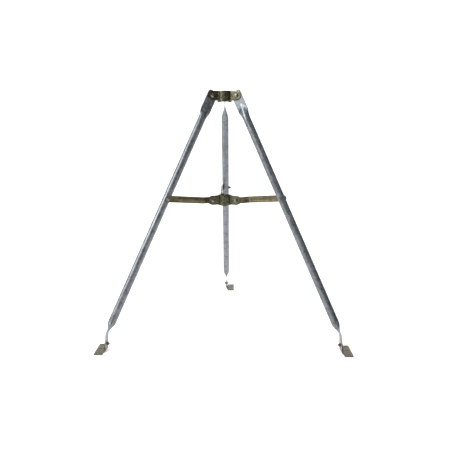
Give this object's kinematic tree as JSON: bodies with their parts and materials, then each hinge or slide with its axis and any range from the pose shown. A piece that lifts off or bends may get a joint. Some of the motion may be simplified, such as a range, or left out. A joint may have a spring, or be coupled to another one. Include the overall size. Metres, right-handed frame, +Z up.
{
  "type": "folding mast tripod",
  "caption": "Low folding tripod of crimped steel tube legs on a clamp collar, with a sliding hub, ribbed flat braces and hinged rectangular foot plates.",
  "frame": {"origin": "centre of the collar's mast clamp, level with its bolts", "axes": "+Z up along the mast, +Y towards the rear leg, +X to the right seen from the front"},
  "size_m": [0.819, 0.7594, 0.8309],
  "materials": {
    "tube": "galvanised steel tube",
    "stamping": "olive zinc-plated stamped steel",
    "strap": "yellow-olive zinc-plated steel strap",
    "foot": "dull zinc-plated steel plate",
    "fastener": "bright zinc-plated bolts and nuts"
  },
  "bodies": {
    "collar": {"collar_plate_front": "stamping", "collar_plate_left": "stamping", "collar_plate_right": "stamping", "collar_bolt_rear": "fastener", "collar_bolt_left": "fastener", "collar_bolt_right": "fastener", "collar_nut_rear": "fastener", "collar_nut_left": "fastener", "collar_nut_right": "fastener"},
    "hub": {"hub_plate_front": "stamping", "hub_plate_left": "stamping", "hub_plate_right": "stamping", "hub_bolt_rear": "fastener", "hub_bolt_left": "fastener", "hub_bolt_right": "fastener", "hub_nut_rear": "fastener", "hub_nut_left": "fastener", "hub_nut_right": "fastener"},
    "leg_rear": {"leg_rear": "tube", "brace_bolt_rear": "fastener", "brace_nut_rear": "fastener"},
    "brace_rear": {"brace_rear": "strap", "brace_head_rear": "fastener"},
    "foot_rear": {"foot_bracket_rear": "foot", "foot_bolt_rear": "fastener", "foot_nut_rear": "fastener"},
    "leg_left": {"leg_left": "tube", "brace_bolt_left": "fastener", "brace_nut_left": "fastener"},
    "brace_left": {"brace_left": "strap", "brace_head_left": "fastener"},
    "foot_left": {"foot_bracket_left": "foot", "foot_bolt_left": "fastener", "foot_nut_left": "fastener"},
    "leg_right": {"leg_right": "tube", "brace_bolt_right": "fastener", "brace_nut_right": "fastener"},
    "brace_right": {"brace_right": "strap", "brace_head_right": "fastener"},
    "foot_right": {"foot_bracket_right": "foot", "foot_bolt_right": "fastener", "foot_nut_right": "fastener"}
  },
  "joints": [
    {"name": "leg_rear_fold", "type": "hinge", "parent": "collar", "child": "leg_rear", "pos_m": [0, 0.0475, 0], "axis": [-1, 0, 0], "range_deg": [0, 23]},
    {"name": "leg_left_fold", "type": "hinge", "parent": "collar", "child": "leg_left", "pos_m": [-0.04114, -0.02375, 0], "axis": [0.5, -0.866, 0], "range_deg": [0, 23]},
    {"name": "leg_right_fold", "type": "hinge", "parent": "collar", "child": "leg_right", "pos_m": [0.04114, -0.02375, 0], "axis": [0.5, 0.866, 0], "range_deg": [0, 23]},
    {"name": "hub_slide", "type": "slide", "parent": "collar", "child": "hub", "axis": [0, 0, -1], "range_m": [0, 0.19104]},
    {"name": "brace_rear_swing", "type": "hinge", "parent": "hub", "child": "brace_rear", "pos_m": [0, 0.0475, -0.35074], "axis": [1, 0, 0], "range_deg": [0, 75.33]},
    {"name": "brace_left_swing", "type": "hinge", "parent": "hub", "child": "brace_left", "pos_m": [-0.04114, -0.02375, -0.35074], "axis": [-0.5, 0.866, 0], "range_deg": [0, 75.33]},
    {"name": "brace_right_swing", "type": "hinge", "parent": "hub", "child": "brace_right", "pos_m": [0.04114, -0.02375, -0.35074], "axis": [-0.5, -0.866, 0], "range_deg": [0, 75.33]},
    {"name": "foot_rear_tilt", "type": "hinge", "parent": "leg_rear", "child": "foot_rear", "pos_m": [0, 0.44959, -0.78914], "axis": [1, 0, 0], "range_deg": [-45, 45]},
    {"name": "foot_left_tilt", "type": "hinge", "parent": "leg_left", "child": "foot_left", "pos_m": [-0.37611, -0.22479, -0.78914], "axis": [1, 0, 0], "range_deg": [-45, 45]},
    {"name": "foot_right_tilt", "type": "hinge", "parent": "leg_right", "child": "foot_right", "pos_m": [0.37611, -0.22479, -0.78914], "axis": [1, 0, 0], "range_deg": [-45, 45]}
  ],
  "couplings": [
    {"joint": "leg_left_fold", "follows": "leg_rear_fold", "ratio": 1},
    {"joint": "leg_right_fold", "follows": "leg_rear_fold", "ratio": 1},
    {"joint": "hub_slide", "follows": "leg_rear_fold", "m_per_rad": 0.4759},
    {"joint": "brace_rear_swing", "follows": "leg_rear_fold", "ratio": 3.275},
    {"joint": "brace_left_swing", "follows": "leg_rear_fold", "ratio": 3.275},
    {"joint": "brace_right_swing", "follows": "leg_rear_fold", "ratio": 3.275}
  ]
}
